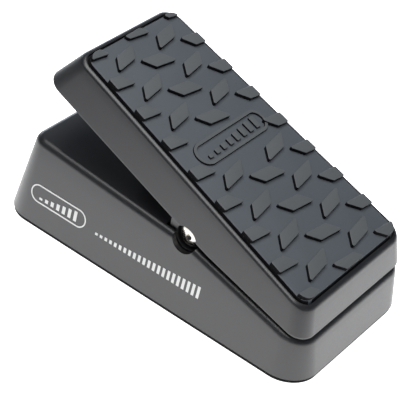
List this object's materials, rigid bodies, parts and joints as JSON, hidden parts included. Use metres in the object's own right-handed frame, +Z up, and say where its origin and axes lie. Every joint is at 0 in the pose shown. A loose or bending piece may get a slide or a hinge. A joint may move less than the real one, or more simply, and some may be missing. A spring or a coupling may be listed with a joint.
{
  "type": "volume pedal",
  "caption": "Compact foot-operated volume pedal: tapered cast chassis, rocking treadle with a rubber lug tread, toe-end jacks and a band-driven potentiometer inside.",
  "frame": {"origin": "on the ground under the middle of the chassis, midway between its heel and toe ends", "axes": "+Y from heel to toe, +X to the player's right, +Z up; +Y is the longest side"},
  "size_m": [0.0794, 0.148, 0.0829],
  "materials": {
    "powder_coat": "satin black powder coat on die-cast metal",
    "tread_rubber": "matt moulded rubber",
    "dark_rubber": "matt black rubber",
    "chrome": "polished plating",
    "steel": "plain zinc-plated steel",
    "white_plastic": "natural nylon",
    "black_plastic": "moulded black nylon",
    "board": "green solder-masked laminate",
    "wire_sleeve": "insulated hook-up wire"
  },
  "bodies": {
    "chassis_body": {"base_plate": "powder_coat", "base_screw_heel_left": "steel", "base_screw_heel_right": "steel", "base_screw_toe_left": "steel", "base_screw_toe_right": "steel", "bracket_screw_heel": "steel", "bracket_screw_toe": "steel", "chassis": "powder_coat", "circuit_board": "board", "foot_heel_left": "dark_rubber", "foot_heel_right": "dark_rubber", "foot_toe_left": "dark_rubber", "foot_toe_right": "dark_rubber", "jack_left": "black_plastic", "jack_middle": "black_plastic", "jack_nut_left": "steel", "jack_nut_middle": "steel", "jack_nut_right": "steel", "jack_right": "black_plastic", "jack_washer_left": "steel", "jack_washer_middle": "steel", "jack_washer_right": "steel", "pivot_bush_left": "white_plastic", "pivot_bush_right": "white_plastic", "pot_body": "steel", "pot_bracket": "steel", "pot_nut": "steel", "pot_washer": "steel", "pot_wire_1": "wire_sleeve", "pot_wire_2": "wire_sleeve", "pot_wire_3": "wire_sleeve", "slide_switch": "steel"},
    "treadle_body": {"treadle": "powder_coat", "tread_pad": "tread_rubber", "pivot_shaft": "steel", "pivot_screw_left": "chrome", "pivot_screw_right": "chrome", "drive_sector": "black_plastic", "drive_band": "steel", "sector_screw_left": "steel", "sector_screw_right": "steel", "band_screw_low": "steel", "band_screw_high": "steel", "bumper_heel_left": "dark_rubber", "bumper_heel_right": "dark_rubber", "bumper_toe_left": "dark_rubber", "bumper_toe_right": "dark_rubber"},
    "pulley_body": {"pulley": "black_plastic", "pulley_set_screw": "steel", "pot_shaft": "steel", "band_wrap": "steel"},
    "switch_body": {"switch_slider": "black_plastic"}
  },
  "joints": [
    {"name": "treadle_hinge", "type": "hinge", "parent": "chassis_body", "child": "treadle_body", "pos_m": [0, -0.012, 0.0348], "axis": [-1, 0, 0], "range_deg": [0, 18.5]},
    {"name": "pulley_spin", "type": "hinge", "parent": "chassis_body", "child": "pulley_body", "pos_m": [0, 0.03232, 0.02699], "axis": [-1, 0, 0], "range_deg": [-187.81, 0]},
    {"name": "switch_slide", "type": "slide", "parent": "chassis_body", "child": "switch_body", "axis": [1, 0, 0], "range_m": [0, 0.002]}
  ],
  "couplings": [
    {"joint": "pulley_spin", "follows": "treadle_hinge", "ratio": -10.125}
  ]
}
